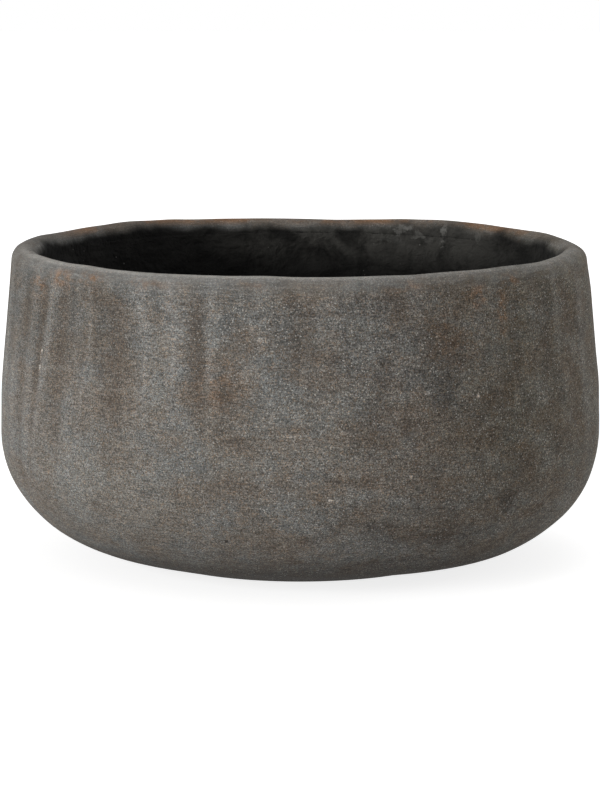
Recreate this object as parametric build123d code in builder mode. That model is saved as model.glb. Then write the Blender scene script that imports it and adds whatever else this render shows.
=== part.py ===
import os
from math import cos, pi, radians, sin, tan

from build123d import *

# Pottery planter: a low round pot of fired clay with a full belly, a wall that leans in
# to a rounded lip, shallow flutes drawn up the wall and a black sealing coat in the bowl.
# Millimetres, +Z up. The origin is the middle of the base on the floor, and -Y is the front.

# Overall size
overall_diameter = 340.0
overall_height = 178.0

# Outer profile: a leaning wall, a shoulder, an upright belly band and a bulge under it
wall_lean = 5.4
shoulder_radius = 200.0
belly_top = 81.5
belly_band = 7.5
bulge_radius = 70.0
bulge_turn = 50.0

# Underside: two turned slopes, in degrees from level, and a ring to stand on
undercut_slope = 28.0
foot_slope = 14.6
foot_slope_height = 9.5
foot_ring_width = 13.0
foot_recess_depth = 2.0
foot_recess_run = 4.0

# Lip
lip_thickness = 15.4
lip_facets = 6

# Bowl: an upright side, a sloped hollow corner and a flat floor
floor_thickness = 13.0
floor_radius = 100.0
corner_height = 34.0

# Sealing coat on the bowl
coat_thickness = 1.4
coat_below_crest = 9.5

# Flutes: drawn up the wall with the fingers, deepest at the lip and on the left side
flute_count = 36
flute_width = 27.0
flute_depth = 1.2
flute_depth_swing = 0.3
flute_start = 103.0
flute_wander = 1.1
flute_tool_reach = 4.0

lean = radians(wall_lean)
belly_radius = overall_diameter / 2
wall_foot_radius = belly_radius - shoulder_radius * (1 - cos(lean))
wall_foot_height = belly_top + shoulder_radius * sin(lean)


def wall_radius(height):
    return wall_foot_radius - (height - wall_foot_height) * tan(lean)


# The lip is a half round in short facets, from the wall's slope to the bowl's upright side
lip_radius = lip_thickness / 2
lip_height = overall_height - lip_radius
lip_middle = wall_radius(lip_height) - lip_radius / cos(lean)
bowl_radius = lip_middle - lip_radius
lip_points = []
for step in range(lip_facets + 1):
    angle = lean + (pi - lean) * step / lip_facets
    lip_points.append((lip_middle + lip_radius * cos(angle), lip_height + lip_radius * sin(angle)))


# The bowl's outline from the top of its side to the middle of its floor, moved in by an inset
def bowl_points(top_height, inset):
    side = bowl_radius - inset
    floor = floor_thickness + inset
    return [(side, top_height), (side, floor_thickness + corner_height), (floor_radius, floor), (0, floor)]


with BuildPart() as planter_body:
    with BuildSketch(Plane.XZ):
        with BuildLine():
            shoulder = JernArc((belly_radius, belly_top), (0, 1), shoulder_radius, wall_lean)
            band = Line(shoulder @ 0, (belly_radius, belly_top - belly_band))
            bulge = JernArc(band @ 1, (0, -1), bulge_radius, -bulge_turn)
            foot_break = (
                (bulge @ 1).X - ((bulge @ 1).Y - foot_slope_height) / tan(radians(undercut_slope)),
                foot_slope_height,
            )
            foot_edge = foot_break[0] - foot_slope_height / tan(radians(foot_slope))
            recess_edge = foot_edge - foot_ring_width
            Polyline(
                bulge @ 1,
                foot_break,
                (foot_edge, 0),
                (recess_edge, 0),
                (recess_edge - foot_recess_run, foot_recess_depth),
                (0, foot_recess_depth),
                (0, floor_thickness),
            )
            Polyline(shoulder @ 1, *lip_points, *bowl_points(lip_height, 0)[1:])
        make_face()
    revolve(axis=Axis.Z)

    # Each flute is cut by a long round tool that leans in a little more than the wall
    flute_top_radius, flute_top = lip_points[0]
    flute_length = (flute_top - flute_start) / cos(lean)
    flute_radius = flute_width**2 / flute_depth / 8
    flute_half = (2 * flute_radius * flute_tool_reach) ** 0.5
    for flute in range(flute_count):
        angle = radians(360 / flute_count * flute + flute_wander * sin(2.4 * flute))
        depth = flute_depth - flute_depth_swing * cos(angle)
        outward = Vector(cos(angle), sin(angle))
        start = outward * wall_radius(flute_start) + Vector(0, 0, flute_start)
        end = outward * (flute_top_radius - depth) + Vector(0, 0, flute_top)
        along = (end - start).normalized()
        with BuildSketch(Plane(start, x_dir=along.cross(outward), z_dir=along)):
            with BuildLine():
                valley = ThreePointArc(
                    (-flute_half, -flute_tool_reach), (0, 0), (flute_half, -flute_tool_reach)
                )
                Line(valley @ 1, valley @ 0)
            make_face()
        extrude(amount=flute_length + lip_thickness, mode=Mode.SUBTRACT)
planter_body.part.label = "planter_body"

with BuildPart() as sealing_coat:
    coat_top = overall_height - coat_below_crest
    with BuildSketch(Plane.XZ):
        with BuildLine():
            backed_side = bowl_points(coat_top, 0)
            open_side = bowl_points(coat_top, coat_thickness)
            Polyline(*backed_side, *reversed(open_side), close=True)
        make_face()
    revolve(axis=Axis.Z)
sealing_coat.part.label = "sealing_coat"

os.makedirs("parts", exist_ok=True)
export_step(planter_body.part, "parts/planter_body.step")
export_step(sealing_coat.part, "parts/sealing_coat.step")
print("bowl radius", round(bowl_radius, 2), "standing ring", round(recess_edge, 2), round(foot_edge, 2))
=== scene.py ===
import math

import bmesh
import bpy
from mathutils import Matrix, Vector, noise


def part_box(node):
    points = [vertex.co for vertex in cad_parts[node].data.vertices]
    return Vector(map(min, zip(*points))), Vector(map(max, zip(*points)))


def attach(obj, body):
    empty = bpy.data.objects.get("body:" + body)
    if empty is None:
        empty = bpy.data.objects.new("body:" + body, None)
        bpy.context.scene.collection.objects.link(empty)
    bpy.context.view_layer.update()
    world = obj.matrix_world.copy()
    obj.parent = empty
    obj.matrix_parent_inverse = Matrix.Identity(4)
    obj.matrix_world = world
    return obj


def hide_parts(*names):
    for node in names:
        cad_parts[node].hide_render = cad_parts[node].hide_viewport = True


# Pottery planter: sandy fired clay under a grey-brown wash, drawn flutes and a black coat inside.
# Metres, +Z up, -Y is the front. Places round the pot are degrees from the front, right is plus.

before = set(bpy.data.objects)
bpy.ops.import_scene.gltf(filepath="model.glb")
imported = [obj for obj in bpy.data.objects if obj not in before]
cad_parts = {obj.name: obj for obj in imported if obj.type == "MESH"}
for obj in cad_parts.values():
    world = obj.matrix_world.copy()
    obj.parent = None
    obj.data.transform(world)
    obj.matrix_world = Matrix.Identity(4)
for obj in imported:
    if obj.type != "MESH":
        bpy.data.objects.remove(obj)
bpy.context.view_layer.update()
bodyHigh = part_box("planter_body")[1]
coatLow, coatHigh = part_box("sealing_coat")
print("frame loaded, pot height", round(bodyHigh.z, 4))

scene = bpy.context.scene
scene.view_settings.view_transform = "Standard"


# Shaping helpers

def smoothStep(low, high, value):
    t = min(max((value - low) / (high - low), 0.0), 1.0)
    return t * t * (3 - 2 * t)


def swell(offset, halfWidth):  # 1 in the middle, 0 from the half width on
    if abs(offset) >= halfWidth:
        return 0.0
    return 0.5 + 0.5 * math.cos(math.pi * offset / halfWidth)


def turnBetween(place, middle):
    return (place - middle + 180) % 360 - 180


def placeOf(point):
    return math.degrees(math.atan2(point.x, -point.y))


def outwards(point, radius):  # level, away from the pot's axis
    return Vector((point.x / radius, point.y / radius, 0))


def uneven(point, scale, seed):
    return noise.noise(point * scale + Vector((seed, 2 * seed, -seed)))


def drawStraight(bm, tip, end, steps):
    start = tip.co.copy()
    for step in range(steps):
        tip = bmesh.ops.extrude_vert_indiv(bm, verts=[tip])["verts"][0]
        tip.co = start.lerp(Vector((end[0], 0, end[1])), (step + 1) / steps)
    return tip


def drawOn(bm, tip, heading, length, steps):
    a = math.radians(heading)
    return drawStraight(bm, tip, (tip.co.x + length * math.cos(a), tip.co.z + length * math.sin(a)), steps)


def drawBend(bm, tip, heading, radius, turn, steps):  # heading in degrees from +X towards +Z
    a = math.radians(heading)
    side = 1 if turn > 0 else -1
    centre = tip.co + Vector((-math.sin(a), 0, math.cos(a))) * radius * side
    bent = bmesh.ops.spin(bm, geom=[tip], cent=centre, axis=(0, -1, 0), angle=math.radians(turn), steps=steps)
    return [g for g in bent["geom_last"] if isinstance(g, bmesh.types.BMVert)][0]


def throwOnWheel(bm, steps):  # turns the drawn outline round Z into a closed skin
    bmesh.ops.spin(bm, geom=bm.verts[:] + bm.edges[:], cent=(0, 0, 0), axis=(0, 0, 1),
                   angle=2 * math.pi, steps=steps, use_merge=True)
    bmesh.ops.remove_doubles(bm, verts=bm.verts[:], dist=1e-6)
    bmesh.ops.recalc_face_normals(bm, faces=bm.faces[:])


def finishPiece(bm, name, node, material):
    for face in bm.faces:
        face.smooth = True
    mesh = bpy.data.meshes.new(name)
    bm.to_mesh(mesh)
    bm.free()
    piece = bpy.data.objects.new(name, mesh)
    scene.collection.objects.link(piece)
    mesh.materials.append(material)
    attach(piece, "root")
    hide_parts(node)
    print(name, "made,", len(mesh.polygons), "faces")


# Node helpers

def newMaterial(name):
    material = bpy.data.materials.new(name)
    material.use_nodes = True
    return material, material.node_tree, material.node_tree.nodes["Principled BSDF"]


def wire(tree, value, socket):
    if isinstance(value, bpy.types.NodeSocket):
        tree.links.new(value, socket)
    else:
        socket.default_value = value


def objectSpace(tree):
    return tree.nodes.new("ShaderNodeTexCoord").outputs["Object"]


def splitUp(tree, space):
    node = tree.nodes.new("ShaderNodeSeparateXYZ")
    wire(tree, space, node.inputs[0])
    return node.outputs


def cloud(tree, space, kind):
    stretch, scale, detail, roughness, distortion = kind
    placed = tree.nodes.new("ShaderNodeMapping")
    wire(tree, space, placed.inputs["Vector"])
    placed.inputs["Scale"].default_value = stretch
    node = tree.nodes.new("ShaderNodeTexNoise")
    wire(tree, placed.outputs["Vector"], node.inputs["Vector"])
    node.inputs["Scale"].default_value = scale
    node.inputs["Detail"].default_value = detail
    node.inputs["Roughness"].default_value = roughness
    node.inputs["Distortion"].default_value = distortion
    return node.outputs["Fac"]


def grains(tree, space, scale):
    node = tree.nodes.new("ShaderNodeTexVoronoi")
    wire(tree, space, node.inputs["Vector"])
    node.inputs["Scale"].default_value = scale
    return node


def ranged(tree, value, low, high, toLow=0.0, toHigh=1.0, smooth=True):
    node = tree.nodes.new("ShaderNodeMapRange")
    node.interpolation_type = "SMOOTHSTEP" if smooth else "LINEAR"
    for socket, given in zip(node.inputs, (value, low, high, toLow, toHigh)):
        wire(tree, given, socket)
    return node.outputs["Result"]


def sums(tree, kind, first, second=0.5, third=0.5):
    node = tree.nodes.new("ShaderNodeMath")
    node.operation = kind
    for socket, given in zip(node.inputs, (first, second, third)):
        wire(tree, given, socket)
    return node.outputs["Value"]


def times(tree, *values):
    product = values[0]
    for value in values[1:]:
        product = sums(tree, "MULTIPLY", product, value)
    return product


def heap(tree, base, value, amount):  # adds an amount of a value to what is there
    return sums(tree, "MULTIPLY_ADD", value, amount, base)


def astray(tree, value, amount):  # how far a cloud strays from its middle
    return times(tree, sums(tree, "SUBTRACT", value, 0.5), amount)


def some(tree, cells, seed, low=0.0, high=1.0):  # picks a share of the grains
    return ranged(tree, sums(tree, "FRACT", times(tree, cells.outputs["Color"], seed)), low, high)


def roundness(tree, cells, low, high):  # a dot in the middle of every grain
    return ranged(tree, cells.outputs["Distance"], low, high)


def tint(tree, amount, under, over, kind="MIX"):
    node = tree.nodes.new("ShaderNodeMix")
    node.data_type = "RGBA"
    node.blend_type = kind
    wire(tree, amount, node.inputs["Factor"])
    for name, given in (("A", under), ("B", over)):
        socket = [i for i in node.inputs if i.name == name and i.type == "RGBA"][0]
        wire(tree, given if isinstance(given, bpy.types.NodeSocket) else (*given, 1), socket)
    return [o for o in node.outputs if o.type == "RGBA"][0]


def filtered(tree, amount, colour, glass):  # the colour as seen through a tinted glass
    return tint(tree, amount, colour, tint(tree, 1.0, colour, glass, "MULTIPLY"))


def shade(tree, colour, amount, limits):  # darkens and lightens, keeping the hue
    low, high = limits
    return tint(tree, 1.0, colour, tint(tree, amount, (low, low, low), (high, high, high)), "MULTIPLY")


def painted(tree, name):  # a value stored on the mesh's points
    node = tree.nodes.new("ShaderNodeAttribute")
    node.attribute_name = name
    return node.outputs["Fac"]


def relief(tree, height):  # height in metres
    node = tree.nodes.new("ShaderNodeBump")
    wire(tree, height, node.inputs["Height"])
    node.inputs["Distance"].default_value = 1.0
    return node.outputs["Normal"]


# Clay body

clay = {
    "stepsRound": 432,
    "footEdge": 0.0862, "footRecess": 0.002, "standingRing": 0.012, "ringSide": 0.004,
    "footEase": 0.002, "footRound": 0.008, "footSlope": 14.6, "footLength": 0.0292,
    # Bends of the belly: radius, turn, steps
    "bends": ((0.085, 21.0, 14), (0.062, 33.4, 18), (0.085, 17.0, 10), (0.210, 9.4, 12)),
    "wallSteps": 34, "lipRadius": 0.0077, "lipSteps": 20, "innerWall": 0.146,
    "bowlRadius": 0.14706, "cornerHeight": 0.047, "floorRadius": 0.100, "floorHeight": 0.013,
    "rimWave": 0.0009, "rimFrom": 0.12, "rimTo": 0.172, "rimBias": 0.3, "shortShare": 0.5,
    "outOfRound": 0.0006, "roundBelow": 0.04, "lumps": 0.00022, "smallShare": 0.6,
    "ridgeRise": 0.00024, "widest": 0.1699,
    # Uneven waves: scale, seed
    "oval": (1.4, 5.0), "longWave": (2.1, 7.0), "shortWave": (6.5, 1.0),
    "largeLumps": (28, 2.0), "smallLumps": (70, 9.0),
    # Radius that stays level, then where the outer wall begins: under the pot, and at its crest
    "levelWithin": 0.05, "underFrom": 0.09, "underTo": 0.12, "crestAbove": 0.12, "crestBlend": 0.004,
    "bowlSlack": 0.003,
    # Handmade bulges: metres, place, half width, height, half height
    "lowerRight": (0.0027, 62, 45, 0.032, 0.030), "underRight": (0.0018, 48, 45, 0.014, 0.013),
    "fuller": (0.0015, 0.058, 0.032),                 # all round: metres, height, half height
    "shoulderRight": (0.0010, 88, 55, 0.150, 0.174),  # drawn in, from one height to the next
}

# Grooves drawn up the wall: place, half width, depth in mm, height where it fades out, slant
grooves = (
    (-83.0, 3.6, 0.4, 0.050, -1.0), (-73.5, 3.4, 0.4, 0.045, -2.0), (-65.5, 3.2, 0.6, 0.035, 1.0),
    (-57.0, 2.6, 0.8, 0.040, -5.0), (-50.0, 3.4, 0.9, 0.060, -3.0), (-36.0, 6.0, 0.7, 0.075, 0.0),
    (-19.2, 3.4, 0.8, 0.095, 1.0), (-11.8, 4.0, 0.3, 0.110, 0.0), (-5.0, 2.4, 0.3, 0.130, 0.0),
    (0.8, 5.0, 0.5, 0.110, 0.0), (10.0, 3.5, 0.2, 0.120, 0.0), (18.1, 3.0, 0.4, 0.130, 1.0),
    (29.3, 5.5, 0.5, 0.105, 0.0), (44.0, 5.0, 0.5, 0.095, 0.0), (53.0, 4.0, 0.5, 0.090, 0.0),
    (62.0, 5.0, 0.7, 0.070, 2.0), (74.0, 4.4, 0.5, 0.070, 1.0),
)
backGrooves = {
    "from": 83.0, "to": 277.0, "count": 20, "halfWidth": 4.8, "depth": 0.75, "fade": 0.07,
    "placeDrift": 0.22, "depthDrift": 0.4, "fadeDrift": 0.03,
}

# Pale ridges between them: place, half width, strength, height where it fades out, slant
ridges = (
    (-78.0, 4.5, 0.5, 0.05, -1.0), (-69.0, 3.6, 0.4, 0.03, 0.0), (-61.0, 3.0, 0.5, 0.03, -2.0),
    (-54.0, 2.2, 0.8, 0.05, -8.0), (-46.0, 2.4, 0.3, 0.05, -2.0), (-43.4, 0.9, 0.7, 0.03, -1.0),
    (-30.0, 2.8, 1.0, 0.09, 0.0), (-24.0, 2.6, 1.0, 0.10, 1.5), (-16.5, 1.8, 0.5, 0.11, 0.0),
    (-7.2, 2.2, 0.6, 0.135, 0.0), (5.0, 2.6, 0.3, 0.13, 0.0), (12.5, 2.4, 0.3, 0.13, 0.0),
    (21.5, 2.6, 0.5, 0.13, 0.0), (36.0, 2.0, 0.6, 0.12, 0.0), (39.0, 2.2, 0.4, 0.09, 0.0),
    (48.5, 1.8, 0.4, 0.11, 1.0), (57.5, 2.0, 0.35, 0.09, 1.0), (68.5, 3.0, 0.6, 0.06, 1.0),
    (96.0, 4.0, 0.7, 0.06, 0.0), (118.0, 3.4, 0.8, 0.05, 1.0), (137.0, 4.0, 0.6, 0.07, 0.0),
    (156.0, 3.2, 0.8, 0.06, 0.0), (172.0, 4.0, 0.6, 0.08, 0.0), (-165.0, 3.6, 0.8, 0.05, -1.0),
    (-147.0, 4.0, 0.6, 0.06, 0.0), (-129.0, 3.4, 0.8, 0.06, 0.0), (-108.0, 4.0, 0.7, 0.05, -1.0),
    (-92.0, 3.2, 0.6, 0.05, -1.0),
)

# How the thrown rim rises and dips: place, half width, millimetres
rimLevels = (
    (-97.0, 24.0, 1.0), (-136.0, 20.0, 0.6), (174.0, 25.0, -1.6), (-163.0, 16.0, -0.6), (143.0, 17.0, 0.9),
    (101.0, 14.0, -0.4), (-8.0, 8.0, 0.5), (46.0, 14.0, 0.6), (-35.0, 22.0, -0.5),
)

strokes = {
    "slantTop": 0.16, "slantRun": 0.13, "fadeBelow": 0.020, "grooveFade": 0.045, "ridgeFade": 0.050,
    "stopFrom": 0.158, "stopTo": 0.173, "wanderRound": 0.05,
    "grooveWander": (1.3, 14, 3), "ridgeWander": (1.6, 18, 11),  # degrees, scale up the wall, seed
}


def wander(place, height, kind):
    amount, scale, seed = strokes[kind]
    return amount * noise.noise(Vector((place * strokes["wanderRound"], height * scale, seed)))


def strokeAt(stroke, place, height, fade):  # how strongly one stroke shows here
    middle, halfWidth, strength, fadeHeight, slant = stroke
    off = turnBetween(place, middle + slant * (strokes["slantTop"] - height) / strokes["slantRun"])
    shown = smoothStep(fadeHeight - strokes["fadeBelow"], fadeHeight + fade, height)
    return strength * swell(off, halfWidth) * shown


def ridgeAt(place, height):
    drawn = place + wander(place, height, "ridgeWander")
    return max(strokeAt(ridge, drawn, height, strokes["ridgeFade"]) for ridge in ridges)


def grooveAt(made, place, height):  # depth in metres
    drawn = place + wander(place, height, "grooveWander")
    total = sum(strokeAt(groove, drawn, height, strokes["grooveFade"]) for groove in made)
    return 0.001 * total * (1 - smoothStep(strokes["stopFrom"], strokes["stopTo"], height))


def allGrooves():  # those the picture shows, and more of them round the back
    made = list(grooves)
    pitch = (backGrooves["to"] - backGrooves["from"]) / (backGrooves["count"] - 1)
    for n in range(backGrooves["count"]):
        place = backGrooves["from"] + pitch * (n + backGrooves["placeDrift"] * math.sin(2.3 * n))
        depth = backGrooves["depth"] * (1 + backGrooves["depthDrift"] * math.sin(1.9 * n + 1))
        fade = backGrooves["fade"] + backGrooves["fadeDrift"] * math.sin(3.1 * n)
        made.append((place, backGrooves["halfWidth"], depth, fade, 0))
    return made


def drawClayOutline(bm):
    tip = bm.verts.new((0, 0, clay["footRecess"]))
    ringInside = clay["footEdge"] - clay["standingRing"]
    tip = drawStraight(bm, tip, (ringInside - clay["ringSide"], clay["footRecess"]), 6)
    tip = drawStraight(bm, tip, (ringInside, 0), 3)
    tip = drawStraight(bm, tip, (clay["footEdge"] - clay["footEase"], 0), 4)
    tip = drawBend(bm, tip, 0, clay["footRound"], clay["footSlope"], 3)
    tip = drawOn(bm, tip, clay["footSlope"], clay["footLength"], 10)
    heading = clay["footSlope"]
    for radius, turn, steps in clay["bends"]:
        tip = drawBend(bm, tip, heading, radius, turn, steps)
        heading += turn
    lean = math.radians(heading - 90)
    wallTop = bodyHigh.z - clay["rimWave"] - clay["lipRadius"] * (1 - math.sin(lean))
    tip = drawOn(bm, tip, heading, (wallTop - tip.co.z) / math.cos(lean), clay["wallSteps"])
    tip = drawBend(bm, tip, heading, clay["lipRadius"], 270 - heading, clay["lipSteps"])
    tip = drawStraight(bm, tip, (tip.co.x, clay["innerWall"]), 8)
    tip = drawStraight(bm, tip, (clay["bowlRadius"], clay["cornerHeight"]), 6)
    tip = drawStraight(bm, tip, (clay["floorRadius"], clay["floorHeight"]), 4)
    drawStraight(bm, tip, (0, clay["floorHeight"]), 4)


def ovalAt(out, height):  # the pot is a little out of round
    shown = smoothStep(0.0, clay["roundBelow"], height)
    return clay["outOfRound"] * (uneven(out, *clay["oval"]) * shown - 1)


def insideBowl(radius, height, crest):
    rise = (clay["cornerHeight"] - clay["floorHeight"]) / (clay["bowlRadius"] - clay["floorRadius"])
    bowlLine = clay["floorHeight"] - clay["bowlSlack"] + rise * max(0.0, radius - clay["floorRadius"])
    return radius < crest and height > bowlLine


def bulge(shape, place, height):
    amount, middle, halfWidth, level, halfHeight = shape
    return amount * swell(turnBetween(place, middle), halfWidth) * swell(height - level, halfHeight)


def fullnessAt(place, height):
    amount, level, halfHeight = clay["fuller"]
    full = bulge(clay["lowerRight"], place, height) + amount * swell(height - level, halfHeight)
    amount, middle, halfWidth, low, high = clay["shoulderRight"]
    return full, amount * smoothStep(low, high, height) * swell(turnBetween(place, middle), halfWidth)


def rimRiseAt(out, place, height):
    wave = uneven(out, *clay["longWave"]) + clay["shortShare"] * uneven(out, *clay["shortWave"])
    level = sum(rise * swell(turnBetween(place, middle), halfWidth) for middle, halfWidth, rise in rimLevels)
    shown = smoothStep(clay["rimFrom"], clay["rimTo"], height)
    return shown * (clay["rimWave"] * (wave - clay["rimBias"]) + 0.001 * level)


def outsideShare(radius, height, inside, crest):  # 1 on the outer wall, 0 in the bowl and under the pot
    if height > clay["crestAbove"]:
        return smoothStep(crest - clay["crestBlend"], crest + clay["crestBlend"], radius)
    return 0.0 if inside else smoothStep(clay["underFrom"], clay["underTo"], radius)


def shapeClay(bm):
    made = allGrooves()
    crestHeight = max(v.co.z for v in bm.verts)
    crestPoints = [v.co.xy.length for v in bm.verts if v.co.z > crestHeight - 1e-5]
    crest = sum(crestPoints) / len(crestPoints)
    inward = bm.verts.layers.float.new("inward")     # metres below the crest, plus inside, minus outside
    fluting = bm.verts.layers.float.new("fluting")   # groove depth in millimetres
    ridging = bm.verts.layers.float.new("ridging")
    for v in bm.verts:
        radius, height = v.co.xy.length, v.co.z
        if radius < clay["levelWithin"]:
            continue
        place, out = placeOf(v.co), outwards(v.co, radius)
        inside = insideBowl(radius, height, crest)
        outside = outsideShare(radius, height, inside, crest)
        depth = grooveAt(made, place, height) * outside
        v[inward] = (crestHeight - height) * (1 if inside else -1)
        v[fluting] = 1000 * depth
        v[ridging] = ridgeAt(place, height) * outside
        full, shoulder = fullnessAt(place, height)
        push = ovalAt(out, height) - depth + clay["ridgeRise"] * v[ridging] + full * outside - shoulder
        lump = uneven(v.co, *clay["largeLumps"]) + clay["smallShare"] * uneven(v.co, *clay["smallLumps"])
        push += clay["lumps"] * outside * lump
        v.co += out * min(push, clay["widest"] - radius)
        v.co.z += rimRiseAt(out, place, height) - bulge(clay["underRight"], place, height) * outside


# Stains and washes on the clay: place, height, half width in degrees, half height, strength
rustStains = (
    (-43.0, 0.172, 5.0, 0.006, 1.0), (-52.0, 0.170, 6.0, 0.009, 0.9), (-60.0, 0.164, 5.0, 0.012, 0.7),
    (35.5, 0.164, 3.0, 0.010, 1.0), (41.0, 0.156, 2.4, 0.020, 0.9), (44.0, 0.171, 5.0, 0.006, 0.7),
    (-30.0, 0.171, 7.0, 0.005, 0.6), (-8.0, 0.173, 5.0, 0.003, 0.4), (20.0, 0.172, 8.0, 0.004, 0.5),
    (-15.0, 0.120, 8.0, 0.020, 0.35), (28.0, 0.146, 8.0, 0.020, 0.30), (134.0, 0.176, 13.0, 0.004, 1.0),
    (-167.0, 0.177, 15.0, 0.003, 1.0), (160.0, 0.176, 5.0, 0.003, 0.6), (120.0, 0.167, 4.0, 0.010, 0.7),
    (-110.0, 0.160, 4.0, 0.012, 0.6), (-140.0, 0.168, 5.0, 0.006, 0.6),
)
paleZones = (
    (-40.0, 0.060, 34.0, 0.048, 0.55), (-84.0, 0.090, 22.0, 0.080, 0.4), (0.0, 0.105, 20.0, 0.018, 0.35),
    (5.4, 0.085, 20.0, 0.011, 0.7), (13.5, 0.113, 7.0, 0.012, 0.6), (11.0, 0.150, 4.0, 0.012, 0.5),
    (-34.5, 0.063, 14.0, 0.016, 0.5), (-27.0, 0.137, 3.5, 0.025, 0.4), (-10.0, 0.080, 13.0, 0.008, 0.6),
    (-17.0, 0.086, 7.0, 0.006, 0.4), (20.0, 0.070, 9.0, 0.015, 0.45), (-23.0, 0.019, 20.0, 0.006, 0.7),
    (-27.0, 0.112, 5.0, 0.030, 0.5), (25.0, 0.160, 6.0, 0.012, 0.4), (-35.0, 0.045, 25.0, 0.020, 0.5),
    (10.0, 0.055, 26.0, 0.022, 0.35), (30.0, 0.080, 12.0, 0.012, 0.35), (150.0, 0.060, 40.0, 0.050, 0.7),
    (-150.0, 0.110, 30.0, 0.050, 0.5),
)
brownZones = (
    (-19.2, 0.140, 4.0, 0.036, 0.9), (-12.0, 0.115, 6.0, 0.018, 0.8), (-11.4, 0.092, 5.0, 0.008, 0.8),
    (0.5, 0.145, 4.5, 0.030, 0.8), (-36.0, 0.135, 7.5, 0.045, 0.6), (30.0, 0.131, 7.0, 0.014, 0.9),
    (31.0, 0.105, 4.0, 0.020, 0.5), (18.1, 0.160, 3.0, 0.012, 0.6), (-5.2, 0.150, 2.2, 0.014, 0.5),
    (62.0, 0.100, 36.0, 0.105, 0.60), (-50.0, 0.148, 14.0, 0.032, 0.7), (60.0, 0.105, 8.0, 0.030, 0.5),
    (14.0, 0.103, 5.0, 0.010, 0.5), (-15.0, 0.068, 7.0, 0.007, 0.5), (-5.0, 0.064, 6.0, 0.006, 0.4),
    (40.0, 0.065, 8.0, 0.008, 0.5), (-66.0, 0.105, 5.0, 0.020, 0.5), (100.0, 0.100, 24.0, 0.060, 0.5),
    (-120.0, 0.100, 20.0, 0.050, 0.5), (170.0, 0.130, 18.0, 0.040, 0.6),
)
sootZones = (
    (27.2, 0.116, 5.0, 0.016, 0.8), (33.0, 0.100, 5.0, 0.013, 0.4), (30.0, 0.134, 5.0, 0.010, 0.5),
    (41.8, 0.056, 6.0, 0.007, 0.8), (27.9, 0.036, 8.0, 0.006, 0.7), (46.0, 0.075, 6.0, 0.008, 0.4),
    (0.6, 0.150, 4.0, 0.020, 0.6), (-11.7, 0.142, 2.6, 0.024, 0.5), (-19.5, 0.150, 2.2, 0.018, 0.4),
    (52.0, 0.150, 6.0, 0.018, 0.6), (20.0, 0.152, 3.0, 0.014, 0.5), (15.0, 0.045, 7.0, 0.005, 0.5),
    (-40.0, 0.150, 5.0, 0.018, 0.35), (130.0, 0.120, 9.0, 0.030, 0.7), (-140.0, 0.060, 12.0, 0.020, 0.7),
    (180.0, 0.090, 10.0, 0.020, 0.6), (-105.0, 0.130, 8.0, 0.030, 0.6),
)

# Single marks: place, height, half width and half height in mm, strength
paleMarks = (
    (-57.2, 0.1291, 1.6, 1.7, 0.8), (-57.5, 0.1197, 1.9, 2.0, 0.55), (-57.4, 0.1245, 1.1, 1.2, 0.5),
    (23.6, 0.1153, 3.2, 1.6, 0.6), (34.0, 0.1115, 1.3, 1.2, 0.9), (-6.8, 0.1447, 4.0, 2.6, 0.22),
    (5.5, 0.0605, 1.7, 1.6, 0.9), (3.6, 0.1033, 1.2, 1.0, 0.5), (-2.5, 0.0949, 7.5, 1.0, 0.35),
    (20.1, 0.0718, 1.4, 1.4, 0.8), (120.0, 0.0900, 1.8, 1.4, 0.7), (-150.0, 0.1200, 1.6, 1.3, 0.7),
)
darkMarks = (
    (-14.3, 0.0358, 1.9, 1.4, 1.0), (24.5, 0.0374, 3.8, 2.8, 0.5), (49.8, 0.1315, 1.3, 1.9, 0.8),
    (52.7, 0.1327, 1.0, 1.5, 0.7), (-11.4, 0.0923, 4.5, 2.6, 0.25), (165.0, 0.0600, 1.6, 1.4, 0.9),
)
coatMarks = (
    (155.5, 0.1712, 10.0, 2.8, 0.9), (151.0, 0.1682, 5.0, 3.6, 0.4), (158.5, 0.1655, 12.0, 2.6, 0.2),
    (144.5, 0.1712, 2.2, 7.5, 0.75), (134.5, 0.1705, 3.0, 5.0, 0.4), (146.0, 0.1650, 14.0, 2.0, 0.15),
)
markEdge = {"wallRadius": 165, "ragged": 1.8, "core": 0.35}  # radius in mm
zonesBeyond = 0.1  # the underside and the bowl's floor stay without zones


def brushZones(bm, name, zones):  # keeps the strongest zone on each point
    layer = bm.verts.layers.float.new(name)
    for v in bm.verts:
        if v.co.xy.length < zonesBeyond:
            continue
        place, height = placeOf(v.co), v.co.z
        for middle, level, halfWidth, halfHeight, strength in zones:
            off = turnBetween(place, middle) / halfWidth
            rise = (height - level) / halfHeight
            v[layer] = max(v[layer], strength * swell(math.hypot(off, rise), 1.0))


def markOn(tree, space, shape, ragged):  # round the wall and up it, with a ragged edge
    place, level, halfWidth, halfHeight, strength = shape
    x, y, z = splitUp(tree, space)
    turn = sums(tree, "ARCTAN2", x, times(tree, y, -1))
    along = times(tree, sums(tree, "SUBTRACT", turn, math.radians(place)), markEdge["wallRadius"] / halfWidth)
    up = times(tree, sums(tree, "SUBTRACT", z, level), 1000 / halfHeight)
    away = sums(tree, "SQRT", heap(tree, times(tree, up, up), along, along))
    away = heap(tree, away, sums(tree, "SUBTRACT", ragged, 0.5), markEdge["ragged"])
    return ranged(tree, away, 1.0, markEdge["core"], 0.0, strength)


# Black sealer, on the coat and on the clay just above it

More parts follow.
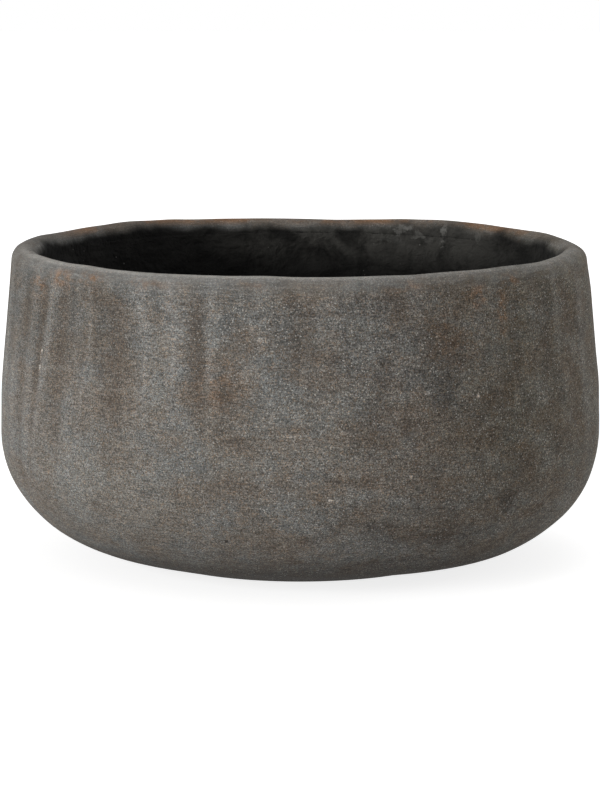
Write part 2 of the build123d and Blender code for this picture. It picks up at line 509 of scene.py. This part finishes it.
sealer = {
    "black": (0.0078, 0.0076, 0.0073), "wornLitBlack": (0.066, 0.064, 0.058), "smudge": (0.200, 0.196, 0.182),
    # Patterns: stretch, scale, detail, roughness, distortion
    "lumps": ((1.0, 1.0, 1.0), 42, 5, 0.62, 0.5), "dabs": ((0.7, 0.7, 1.0), 130, 5, 0.66, 0.4),
    "grain": ((1.0, 1.0, 1.0), 900, 3, 0.70, 0.0), "brush": ((0.12, 0.12, 1.0), 420, 3, 0.60, 0.0),
    "ragged": ((1.0, 1.0, 1.0), 230, 4, 0.70, 0.0),
    "lumpHeight": 0.0065, "dabHeight": 0.0048, "grainHeight": 0.00022, "brushHeight": 0.00025,
    "wornLitFrom": 0.138, "wornLitTo": 0.168, "roughness": 0.92, "specular": 0.10,
    "speckScale": 330, "speckAmount": 0.5,
}


def sealerLook(tree, space):  # colour and height, a little worn and lighter with painted light towards the upper edge
    x, y, z = splitUp(tree, space)
    lumps, dabs, grain, brush, ragged = [
        cloud(tree, space, sealer[name]) for name in ("lumps", "dabs", "grain", "brush", "ragged")]
    # partly worn sealer on the lumps, partly painted light: the upper inner wall lighter where light reaches
    # into the bowl, less so on the left and far right
    wearAndLight = times(tree, ranged(tree, z, sealer["wornLitFrom"], sealer["wornLitTo"]),
                 ranged(tree, lumps, 0.38, 0.62, 0.15, 1.0),
                 ranged(tree, x, -0.08, 0.02, 0.15, 1.0), ranged(tree, x, 0.09, 0.13, 1.0, 0.4))
    height = heap(tree, times(tree, dabs, sealer["dabHeight"]), lumps, sealer["lumpHeight"])
    height = heap(tree, height, grain, sealer["grainHeight"])
    height = heap(tree, height, brush, sealer["brushHeight"])
    colour = tint(tree, wearAndLight, sealer["black"], sealer["wornLitBlack"])
    ragged = ranged(tree, ragged, 0.22, 0.78)
    for shape in coatMarks:
        smear = times(tree, markOn(tree, space, shape, ragged), ranged(tree, dabs, 0.36, 0.56, 0.5, 1.0))
        colour = tint(tree, smear, colour, sealer["smudge"])
    return colour, height


# Clay finish

claySkin = {
    "warm": (0.186, 0.163, 0.138), "cool": (0.172, 0.171, 0.162), "paleWashAndHighlight": (0.262, 0.258, 0.245),
    "brown": (0.106, 0.086, 0.068), "dark": (0.046, 0.041, 0.036), "orange": (0.225, 0.158, 0.100),
    "rust": (0.240, 0.130, 0.064), "greenGrey": (0.230, 0.230, 0.214), "paleSand": (0.72, 0.69, 0.64),
    "highlightPale": (0.38, 0.37, 0.345), "shadowBrown": (0.068, 0.058, 0.048),
    # Glass tints that multiply the colour; the right, upper and top-left glasses are painted shade, the left
    # glass painted light
    "rightShadeGlass": (0.85, 0.83, 0.74), "leftLightGlass": (1.0, 1.035, 1.065), "upperShadeGlass": (0.93, 0.925, 0.92),
    "topLeftShadeGlass": (0.72, 0.72, 0.71), "redGrain": (1.22, 0.94, 0.72),
    # How strongly each wash, painted highlight and painted shade covers
    "patchBrown": 0.45, "mottleOrange": 0.26, "brownPaint": 0.60, "palePaint": 0.90, "sootPaint": 0.88,
    "grooveBrown": 0.48, "brushPale": 0.36, "brushBrown": 0.34, "brokenPale": 0.42, "brokenBrown": 0.56,
    "rustPaint": 0.75, "crestBrown": 0.38, "crestPaintedHighlight": 0.45, "edgePaintedHighlight": 0.85, "footPaintedShade": 0.90,
    "chips": 0.75, "redGrains": 0.7, "sootDots": 0.60, "smoothRim": 0.55,
    # Darkest and lightest factor of each uneven layer
    "mottleShade": (0.94, 1.06), "blotchShade": (0.90, 1.10), "streakShade": (0.86, 1.14),
    "gritShade": (0.60, 1.38), "fineShade": (0.66, 1.34), "speckleShade": (0.70, 1.30),
    "scratchShade": (0.74, 1.26),
    # Heights in metres
    "patchHeight": 0.0012, "brushHeight": 0.00030, "scratchHeight": 0.00012, "gritHeight": -0.00016,
    "dotHeight": 0.00022,
    "sealedFrom": -0.0002, "sealedTo": 0.0066, "sealedDrift": 0.010, "sealedMottle": 0.0015,
    "roughness": 0.92, "specular": 0.30,
}

# Patterns: stretch, scale, detail, roughness, distortion
clayClouds = {
    "blotches": ((1.0, 1.0, 1.0), 20, 4, 0.55, 0.3), "patches": ((0.55, 0.55, 1.0), 62, 4, 0.58, 0.3),
    "broken": ((0.6, 0.6, 0.9), 85, 5, 0.70, 0.4), "mottle": ((0.7, 0.7, 1.0), 240, 4, 0.65, 0.0),
    "streaks": ((1.0, 1.0, 0.10), 120, 4, 0.60, 0.0), "drift": ((1.0, 1.0, 1.0), 48, 1.5, 0.50, 0.0),
    "brushed": ((0.06, 0.06, 1.0), 420, 5, 0.78, 0.0), "scratches": ((0.12, 0.12, 1.0), 1700, 3, 0.70, 0.0),
}
clayGrains = {"grit": 1750, "fine": 3000, "sand": 980, "soot": 700}


def readClay(tree):  # coordinates, patterns and painted values by name
    space = objectSpace(tree)
    x, y, height = splitUp(tree, space)
    at = {"space": space, "x": x, "height": height, "inward": painted(tree, "inward")}
    at["fromCrest"] = sums(tree, "ABSOLUTE", at["inward"])
    at["behind"] = ranged(tree, y, -0.09, 0.03)
    at["uneasy"] = ranged(tree, x, -0.06, 0.08, 0.3, 1.0)  # the right side is the more broken one
    for name, kind in clayClouds.items():
        at[name] = cloud(tree, space, kind)
    for name, scale in clayGrains.items():
        at[name] = grains(tree, space, scale)
    return at


def layTone(tree, colour, tone, amount, strength=None):
    if strength is not None:
        amount = times(tree, amount, claySkin[strength])
    return tint(tree, amount, colour, claySkin[tone])


def groundTone(tree, at):
    x, height, patches, mottle = at["x"], at["height"], at["patches"], at["mottle"]
    hue = heap(tree, times(tree, at["blotches"], 0.4), patches, 0.6)
    colour = tint(tree, ranged(tree, hue, 0.42, 0.58), claySkin["warm"], claySkin["cool"])
    colour = layTone(tree, colour, "brown", ranged(tree, patches, 0.44, 0.28), "patchBrown")
    colour = layTone(tree, colour, "orange", ranged(tree, mottle, 0.53, 0.70), "mottleOrange")
    colour = shade(tree, colour, ranged(tree, mottle, 0.30, 0.70), claySkin["mottleShade"])
    colour = shade(tree, colour, ranged(tree, at["blotches"], 0.36, 0.64), claySkin["blotchShade"])
    # painted shade: the right side darker and warmer, the side turned from the light
    right = times(tree, ranged(tree, x, 0.05, 0.12), ranged(tree, height, 0.02, 0.10, 0.3, 1.0))
    colour = filtered(tree, right, colour, claySkin["rightShadeGlass"])
    # painted light: the left side a little lighter and cooler, the side facing the light
    colour = filtered(tree, ranged(tree, x, 0.03, -0.05), colour, claySkin["leftLightGlass"])
    # painted shade: the upper wall a little darker
    colour = filtered(tree, ranged(tree, height, 0.120, 0.150), colour, claySkin["upperShadeGlass"])
    # painted shade: the upper left darker
    topLeft = times(tree, ranged(tree, x, -0.06, -0.13), ranged(tree, height, 0.11, 0.15))
    return filtered(tree, topLeft, colour, claySkin["topLeftShadeGlass"])


def zoneTone(tree, at, colour):
    mottle, brushed, broken = at["mottle"], at["brushed"], at["broken"]
    paint = times(tree, painted(tree, "brownZone"), ranged(tree, mottle, 0.34, 0.62, 0.6, 1.0))
    colour = layTone(tree, colour, "brown", paint, "brownPaint")
    paint = times(tree, painted(tree, "paleZone"), ranged(tree, at["patches"], 0.3, 0.6, 0.5, 1.0))
    colour = layTone(tree, colour, "greenGrey", paint, "palePaint")
    paint = times(tree, painted(tree, "sootZone"), ranged(tree, mottle, 0.34, 0.60, 0.6, 1.0))
    colour = layTone(tree, colour, "shadowBrown", paint, "sootPaint")
    upper = ranged(tree, at["height"], 0.06, 0.15)
    streaked = sums(tree, "MULTIPLY_ADD", astray(tree, at["streaks"], 1.0), upper, 0.5)
    colour = shade(tree, colour, ranged(tree, streaked, 0.35, 0.65), claySkin["streakShade"])
    colour = layTone(tree, colour, "brown", ranged(tree, painted(tree, "fluting"), 0.1, 0.8), "grooveBrown")
    ridged = times(tree, painted(tree, "ridging"), ranged(tree, mottle, 0.35, 0.58, 0.35, 0.75))
    colour = layTone(tree, colour, "paleWashAndHighlight", ridged)
    colour = layTone(tree, colour, "paleWashAndHighlight", ranged(tree, brushed, 0.52, 0.70), "brushPale")
    colour = layTone(tree, colour, "brown", ranged(tree, brushed, 0.47, 0.30), "brushBrown")
    paleBreaks = times(tree, ranged(tree, broken, 0.50, 0.68), at["uneasy"])
    colour = layTone(tree, colour, "greenGrey", paleBreaks, "brokenPale")
    darkBreaks = times(tree, ranged(tree, broken, 0.52, 0.32), at["uneasy"])
    return layTone(tree, colour, "shadowBrown", darkBreaks, "brokenBrown")


def rimTone(tree, at, colour):
    x, patches, behind = at["x"], at["patches"], at["behind"]
    band = times(tree, ranged(tree, at["inward"], -0.011, -0.004),
                 ranged(tree, at["brushed"], 0.40, 0.62, 0.10, 0.50),
                 ranged(tree, patches, 0.36, 0.58, 0.3, 1.0))
    colour = layTone(tree, colour, "paleWashAndHighlight", band)
    stains = times(tree, painted(tree, "rust"), ranged(tree, at["mottle"], 0.40, 0.60))
    colour = layTone(tree, colour, "rust", stains, "rustPaint")
    crest = ranged(tree, at["fromCrest"], 0.0045, 0.0)
    crestBehind = times(tree, crest, behind)
    ahead = sums(tree, "SUBTRACT", 1.0, behind)
    colour = layTone(tree, colour, "brown", crestBehind, "crestBrown")
    # painted highlight: the crest paler at the front, where light catches it
    colour = layTone(tree, colour, "paleWashAndHighlight", times(tree, crest, ahead), "crestPaintedHighlight")
    # painted highlight: a thin pale line along the front crest, strongest on the left, where the light
    # catches it
    glintLine = times(tree, ranged(tree, at["fromCrest"], 0.0016, 0.0002), ranged(tree, x, 0.10, -0.01, 0.3, 1.0))
    colour = layTone(tree, colour, "highlightPale", times(tree, glintLine, ahead), "edgePaintedHighlight")
    middle = ranged(tree, sums(tree, "ABSOLUTE", x), 0.148, 0.120)
    crestRust = times(tree, ranged(tree, patches, 0.44, 0.58, 0.1, 0.8), middle)
    return layTone(tree, colour, "rust", times(tree, crestBehind, crestRust))


def footAndMarks(tree, at, colour):
    # painted shade: darker towards the bottom, under the pot, where little light reaches
    low = sums(tree, "ADD", at["height"], astray(tree, at["patches"], 0.012))
    colour = layTone(tree, colour, "dark", ranged(tree, low, 0.030, 0.004), "footPaintedShade")
    for shape in darkMarks:
        colour = layTone(tree, colour, "dark", markOn(tree, at["space"], shape, at["mottle"]))
    for shape in paleMarks:
        colour = layTone(tree, colour, "paleSand", markOn(tree, at["space"], shape, at["mottle"]), "chips")
    return colour


def grainTone(tree, at, colour, paleDots, darkDots):
    grit, calm = at["grit"], colour
    colour = shade(tree, colour, some(tree, grit, 3.7), claySkin["gritShade"])
    colour = shade(tree, colour, some(tree, at["fine"], 5.3), claySkin["fineShade"])
    speckle = times(tree, sums(tree, "SUBTRACT", some(tree, grit, 11.3), 0.5), at["uneasy"])
    colour = shade(tree, colour, sums(tree, "ADD", speckle, 0.5), claySkin["speckleShade"])
    reddish = times(tree, some(tree, grit, 9.1, 0.78, 0.86), claySkin["redGrains"])
    colour = filtered(tree, reddish, colour, claySkin["redGrain"])
    colour = shade(tree, colour, ranged(tree, at["scratches"], 0.36, 0.64), claySkin["scratchShade"])
    shown = times(tree, ranged(tree, at["patches"], 0.36, 0.60, 0.40, 0.75),
                  ranged(tree, at["x"], -0.11, 0.0, 0.45, 1.0))
    colour = layTone(tree, colour, "paleSand", times(tree, paleDots, shown))
    colour = layTone(tree, colour, "dark", darkDots, "sootDots")
    smoothed = times(tree, ranged(tree, at["inward"], -0.013, -0.002), claySkin["smoothRim"])
    return tint(tree, smoothed, colour, calm)


def grainHeight(tree, at, paleDots, darkDots):
    height = times(tree, at["brushed"], claySkin["brushHeight"])
    height = heap(tree, height, at["patches"], claySkin["patchHeight"])
    height = heap(tree, height, at["scratches"], claySkin["scratchHeight"])
    height = heap(tree, height, at["grit"].outputs["Distance"], claySkin["gritHeight"])
    return heap(tree, height, sums(tree, "SUBTRACT", paleDots, darkDots), claySkin["dotHeight"])


def makeClaySkin():
    material, tree, shader = newMaterial("sandyWashedClay")
    at = readClay(tree)
    paleDots = times(tree, roundness(tree, at["sand"], 0.40, 0.30), some(tree, at["sand"], 7.3, 0.86, 0.89))
    darkDots = times(tree, roundness(tree, at["soot"], 0.40, 0.22), some(tree, at["soot"], 5.1, 0.86, 0.90))
    colour = groundTone(tree, at)
    colour = zoneTone(tree, at, colour)
    colour = rimTone(tree, at, colour)
    colour = footAndMarks(tree, at, colour)
    colour = grainTone(tree, at, colour, paleDots, darkDots)
    height = grainHeight(tree, at, paleDots, darkDots)

    sealerTone, sealerHeight = sealerLook(tree, at["space"])
    edge = sums(tree, "ADD", at["inward"], astray(tree, at["drift"], claySkin["sealedDrift"]))
    edge = sums(tree, "ADD", edge, astray(tree, at["mottle"], claySkin["sealedMottle"]))
    sealed = ranged(tree, edge, claySkin["sealedFrom"], claySkin["sealedTo"])
    gloss = ranged(tree, sealed, 0.0, 1.0, claySkin["specular"], sealer["specular"], smooth=False)
    height = heap(tree, height, sums(tree, "SUBTRACT", sealerHeight, height), sealed)
    wire(tree, tint(tree, sealed, colour, sealerTone), shader.inputs["Base Color"])
    wire(tree, gloss, shader.inputs["Specular IOR Level"])
    wire(tree, relief(tree, height), shader.inputs["Normal"])
    shader.inputs["Roughness"].default_value = claySkin["roughness"]
    return material


shell = bmesh.new()
drawClayOutline(shell)
throwOnWheel(shell, clay["stepsRound"])
shapeClay(shell)
brushZones(shell, "rust", rustStains)
brushZones(shell, "paleZone", paleZones)
brushZones(shell, "brownZone", brownZones)
brushZones(shell, "sootZone", sootZones)
finishPiece(shell, "clayPot", "planter_body", makeClaySkin())


# Black coat in the bowl

coat = {
    "stepsRound": 300, "thickness": 0.0014, "feather": 0.030, "behind": 0.0004,
    "cornerHeight": 0.047, "floorRadius": 0.100,
    "bendAbove": 0.010, "bendRadius": 0.030, "bendTurn": 36, "stepLength": 0.004,
    "floorEaseOut": 0.010, "floorEaseIn": 0.004, "floorEaseRise": 0.004,
    "lumps": 0.0016, "lumpBias": 0.4, "calmFrom": 0.034, "calmTo": 0.006,  # below the upper edge
    "largeLumps": (32, 4.0), "smallLumps": (85, 6.0), "smallShare": 0.7,   # scale, seed
    "ovalFrom": 0.05, "ovalTo": 0.09, "floorBelow": 0.003, "faceSlack": 0.0002,
    "edgeWave": 0.0012, "edgeWaves": (5, 8.0), "waveFrom": 0.15,
}


def drawCoatOutline(bm):
    side = coatHigh.x + coat["behind"]         # its upper edge starts inside the clay wall
    under = coatLow.z - coat["behind"]
    face = coatHigh.x - coat["thickness"]
    floor = coatLow.z + coat["thickness"]
    tip = bm.verts.new((0, 0, under))
    tip = drawStraight(bm, tip, (coat["floorRadius"], under), 3)
    tip = drawStraight(bm, tip, (side, coat["cornerHeight"]), 3)
    tip = drawStraight(bm, tip, (side, coatHigh.z), 4)
    tip = drawStraight(bm, tip, (face, coatHigh.z - coat["feather"]), 24)
    tip = drawStraight(bm, tip, (face, coat["cornerHeight"] + coat["bendAbove"]), 44)
    tip = drawBend(bm, tip, 270, coat["bendRadius"], -coat["bendTurn"], 6)
    end = (coat["floorRadius"] + coat["floorEaseOut"], floor + coat["floorEaseRise"])
    slope = (Vector((end[0], 0, end[1])) - tip.co).length
    tip = drawStraight(bm, tip, end, max(4, int(slope / coat["stepLength"])))
    tip = drawStraight(bm, tip, (coat["floorRadius"] - coat["floorEaseIn"], floor), 4)
    drawStraight(bm, tip, (0, floor), 24)


def shapeCoat(bm):
    floor = coatLow.z + coat["thickness"]
    for v in bm.verts:
        radius = v.co.xy.length
        facing = radius < coatHigh.x and v.co.z > floor - coat["faceSlack"]
        if radius < 1e-4 or not facing:
            continue
        out = outwards(v.co, radius)
        calm = 1 - smoothStep(coatHigh.z - coat["calmFrom"], coatHigh.z - coat["calmTo"], v.co.z)
        lump = uneven(v.co, *coat["largeLumps"]) + coat["smallShare"] * uneven(v.co, *coat["smallLumps"])
        lump = (lump + coat["lumpBias"]) * (coat["lumps"] * calm)
        v.co += out * ovalAt(out, v.co.z) * smoothStep(coat["ovalFrom"], coat["ovalTo"], v.co.z)
        if v.co.z > floor + coat["floorBelow"]:
            v.co -= out * lump
        else:
            v.co.z += lump
        edge = smoothStep(coat["waveFrom"], coatHigh.z, v.co.z)
        v.co.z += coat["edgeWave"] * uneven(out, *coat["edgeWaves"]) * edge


def makeCoatSkin():
    material, tree, shader = newMaterial("blackSealer")
    space = objectSpace(tree)
    tone, height = sealerLook(tree, space)
    specks = grains(tree, space, sealer["speckScale"])
    dust = times(tree, roundness(tree, specks, 0.20, 0.10), some(tree, specks, 6.7, 0.93, 0.95))
    colour = tint(tree, times(tree, dust, sealer["speckAmount"]), tone, sealer["smudge"])
    wire(tree, colour, shader.inputs["Base Color"])
    wire(tree, relief(tree, height), shader.inputs["Normal"])
    shader.inputs["Roughness"].default_value = sealer["roughness"]
    shader.inputs["Specular IOR Level"].default_value = sealer["specular"]
    return material


lining = bmesh.new()
drawCoatOutline(lining)
throwOnWheel(lining, coat["stepsRound"])
shapeCoat(lining)
finishPiece(lining, "blackCoat", "sealing_coat", makeCoatSkin())


# Floor, light and camera

studio = {
    "floorSize": 6.0, "floorColour": (0.62, 0.62, 0.62), "floorGlow": 0.80, "glowFrom": 0.25, "glowTo": 1.2,
    "world": 0.34, "aim": (0, 0, 0.09),
    # Lamps: power, size, place
    "key": (44.0, 1.2, (-2.1, -1.65, 0.62)), "fill": (2.0, 2.4, (1.6, -2.4, 1.2)),
    "top": (11.0, 1.8, (0.3, 0.5, 2.6)), "edge": (7.0, 1.0, (2.3, 0.7, 0.7)),
}


def seenPlainly(tree):  # 1 for the camera and for mirrored or clear rays, 0 for the light on the pot
    path = tree.nodes.new("ShaderNodeLightPath")
    shiny = sums(tree, "MAXIMUM", path.outputs["Is Glossy Ray"], path.outputs["Is Transmission Ray"])
    return sums(tree, "MAXIMUM", path.outputs["Is Camera Ray"], shiny)


def makeFloorSkin():
    material, tree, shader = newMaterial("paleFloor")
    tree.nodes.remove(shader)
    matte = tree.nodes.new("ShaderNodeBsdfDiffuse")
    matte.inputs["Color"].default_value = (*studio["floorColour"], 1)
    away = tree.nodes.new("ShaderNodeVectorMath")
    away.operation = "LENGTH"
    wire(tree, objectSpace(tree), away.inputs[0])
    lift = ranged(tree, away.outputs["Value"], studio["glowFrom"], studio["glowTo"], studio["floorGlow"], 1.0)
    glow = tree.nodes.new("ShaderNodeEmission")
    wire(tree, times(tree, seenPlainly(tree), lift), glow.inputs["Strength"])
    both = tree.nodes.new("ShaderNodeAddShader")
    wire(tree, matte.outputs["BSDF"], both.inputs[0])
    wire(tree, glow.outputs["Emission"], both.inputs[1])
    wire(tree, both.outputs["Shader"], tree.nodes["Material Output"].inputs["Surface"])
    return material


def makeFloor():
    bm = bmesh.new()
    bmesh.ops.create_grid(bm, x_segments=1, y_segments=1, size=studio["floorSize"])
    mesh = bpy.data.meshes.new("studioFloor")
    bm.to_mesh(mesh)
    bm.free()
    floor = bpy.data.objects.new("studioFloor", mesh)
    scene.collection.objects.link(floor)
    mesh.materials.append(makeFloorSkin())


def makeWorld():
    world = bpy.data.worlds.new("studioRoom")
    scene.world = world
    world.use_nodes = True
    tree = world.node_tree
    back = tree.nodes["Background"]
    strength = ranged(tree, seenPlainly(tree), 0.0, 1.0, studio["world"], 1.0, smooth=False)
    wire(tree, strength, back.inputs["Strength"])
    back.inputs["Color"].default_value = (1, 1, 1, 1)


def makeLamp(name):
    power, size, place = studio[name]
    lamp = bpy.data.lights.new(name + "Lamp", "AREA")
    lamp.energy = power
    lamp.size = size
    holder = bpy.data.objects.new(name + "Lamp", lamp)
    holder.location = place
    holder.rotation_euler = (Vector(studio["aim"]) - Vector(place)).to_track_quat("-Z", "Y").to_euler()
    scene.collection.objects.link(holder)


makeFloor()
makeWorld()
for lampName in ("key", "fill", "top", "edge"):
    makeLamp(lampName)

view = {"distance": 2.0, "elevation": 8.8, "lens": 158.14, "sensor": 36, "aimHeight": 0.0879}
tilt = math.radians(view["elevation"])
eye = bpy.data.cameras.new("photoCamera")
eye.lens = view["lens"]
eye.sensor_width = view["sensor"]
camera = bpy.data.objects.new("photoCamera", eye)
rise = view["aimHeight"] + view["distance"] * math.sin(tilt)
camera.location = (0, -view["distance"] * math.cos(tilt), rise)
camera.rotation_euler = (math.pi / 2 - tilt, 0, 0)
scene.collection.objects.link(camera)
scene.camera = camera
print("floor, lamps and camera set")
